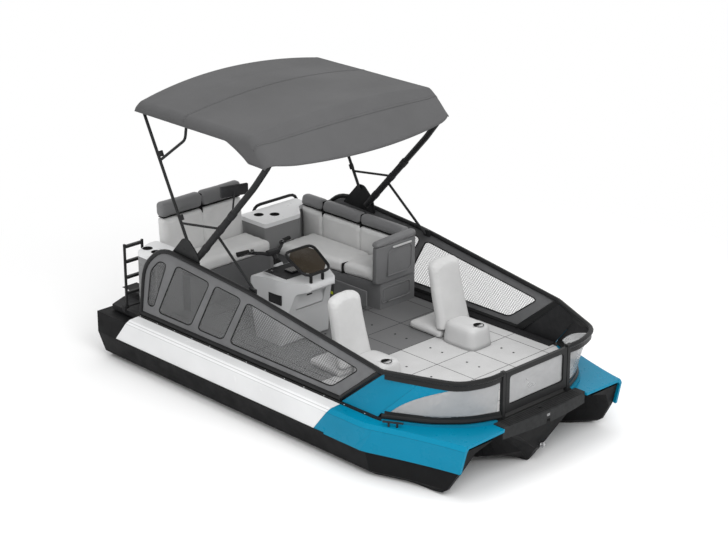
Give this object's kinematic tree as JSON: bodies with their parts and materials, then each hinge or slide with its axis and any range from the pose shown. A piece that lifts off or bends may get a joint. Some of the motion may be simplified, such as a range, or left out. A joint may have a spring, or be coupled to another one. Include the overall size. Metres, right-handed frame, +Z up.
{
  "type": "pontoon boat",
  "caption": "Small jet-driven pontoon boat with a fenced deck, helm console, benches, bow seats, gate, boarding ladder and fabric sun top.",
  "frame": {"origin": "centre of the bounding box, on the ground under the keels", "axes": "+X towards the bow, +Y to port, +Z up"},
  "size_m": [4.5, 2.44, 2.605],
  "materials": {
    "hull_black": "gloss, hull moulding",
    "deck_mat": "soft foam mat over the deck",
    "cover_white": "gloss",
    "cover_blue": "gloss, metallic blue",
    "trim_black": "textured moulding",
    "rail_black": "satin powder coat",
    "screen_grey": "satin panel",
    "mesh_grey": "woven vinyl mesh",
    "window_clear": "clear sheet",
    "smoke_sheet": "smoked sheet",
    "step_grey": "non-slip moulding",
    "bright_metal": "stainless",
    "frame_dark": "anodised dark tube",
    "canopy_cloth": "woven marine canvas",
    "mirror_black": "gloss housing",
    "console_grey": "gloss moulding",
    "panel_white": "gloss moulding",
    "seat_light": "marine vinyl",
    "seat_dark": "marine vinyl",
    "table_white": "gloss moulding",
    "jet_metal": "cast",
    "engine_block": "plain block"
  },
  "bodies": {
    "boat": {"centre_hull": "hull_black", "starboard_hull": "hull_black", "port_hull": "hull_black", "deck": "deck_mat", "starboard_cover": "cover_white", "port_cover": "cover_white", "starboard_bow_cover": "cover_blue", "port_bow_cover": "cover_blue", "bow_step": "step_grey", "bow_eye": "bright_metal", "stern_platform": "trim_black", "cleats": "trim_black", "starboard_rail": "rail_black", "port_rail": "rail_black", "starboard_screen": "screen_grey", "port_screen": "screen_grey", "side_meshes": "mesh_grey", "starboard_bow_rail": "rail_black", "port_bow_rail": "rail_black", "bow_panels": "cover_blue", "bow_windows": "window_clear", "top_brackets": "frame_dark", "main_bow": "frame_dark", "rear_bow": "frame_dark", "upper_bow": "frame_dark", "top_braces": "frame_dark", "top_struts": "frame_dark", "canopy": "canopy_cloth", "helm_mirror": "mirror_black", "console": "console_grey", "deflector_frame": "rail_black", "deflector": "smoke_sheet", "driver_bench": "seat_dark", "driver_cushion": "seat_light", "driver_backrest": "seat_dark", "bench_base": "seat_dark", "bench_cushions": "seat_light", "bench_backrest": "seat_light", "bench_armrest": "seat_dark", "corner_table": "table_white", "side_table": "table_white", "stern_hoop": "rail_black", "bow_seat_pods": "console_grey", "bow_seat_pads": "seat_light", "bow_seat_backs": "seat_light", "engine": "engine_block", "pump_housing": "jet_metal"},
    "handlebar": {"handlebar": "trim_black"},
    "glovebox_lid": {"glovebox_lid": "panel_white"},
    "bow_gate": {"bow_gate": "rail_black", "gate_window": "window_clear"},
    "boarding_ladder": {"boarding_ladder": "rail_black"},
    "impeller": {"impeller": "bright_metal"},
    "steering_nozzle": {"steering_nozzle": "jet_metal"},
    "reverse_bucket": {"reverse_bucket": "trim_black"}
  },
  "joints": [
    {"name": "handlebar_steer", "type": "hinge", "parent": "boat", "child": "handlebar", "pos_m": [-0.538, -0.4, 1.108], "axis": [-0.5736, 0, 0.8192], "range_deg": [-30, 30]},
    {"name": "nozzle_steer", "type": "hinge", "parent": "boat", "child": "steering_nozzle", "pos_m": [-2.1223, 0, 0.19], "axis": [0, 0, 1], "range_deg": [-20.1, 20.1]},
    {"name": "reverse_bucket_swing", "type": "hinge", "parent": "steering_nozzle", "child": "reverse_bucket", "pos_m": [-2.1723, 0, 0.19], "axis": [0, -1, 0], "range_deg": [0, 85]},
    {"name": "impeller_spin", "type": "hinge", "parent": "boat", "child": "impeller", "pos_m": [-2.03, 0, 0.19], "axis": [1, 0, 0], "continuous": true},
    {"name": "bow_gate_swing", "type": "hinge", "parent": "boat", "child": "bow_gate", "pos_m": [2.071, 0.372, 0.7], "axis": [0, 0, 1], "range_deg": [-90, 0]},
    {"name": "glovebox_lid_swing", "type": "hinge", "parent": "boat", "child": "glovebox_lid", "pos_m": [-0.154, -0.4, 0.858], "axis": [0, 1, 0], "range_deg": [0, 80]},
    {"name": "ladder_swing", "type": "hinge", "parent": "boat", "child": "boarding_ladder", "pos_m": [-1.842, -0.98, 0.532], "axis": [0, -1, 0], "range_deg": [0, 90]}
  ],
  "couplings": [
    {"joint": "nozzle_steer", "follows": "handlebar_steer", "ratio": -0.6667}
  ]
}
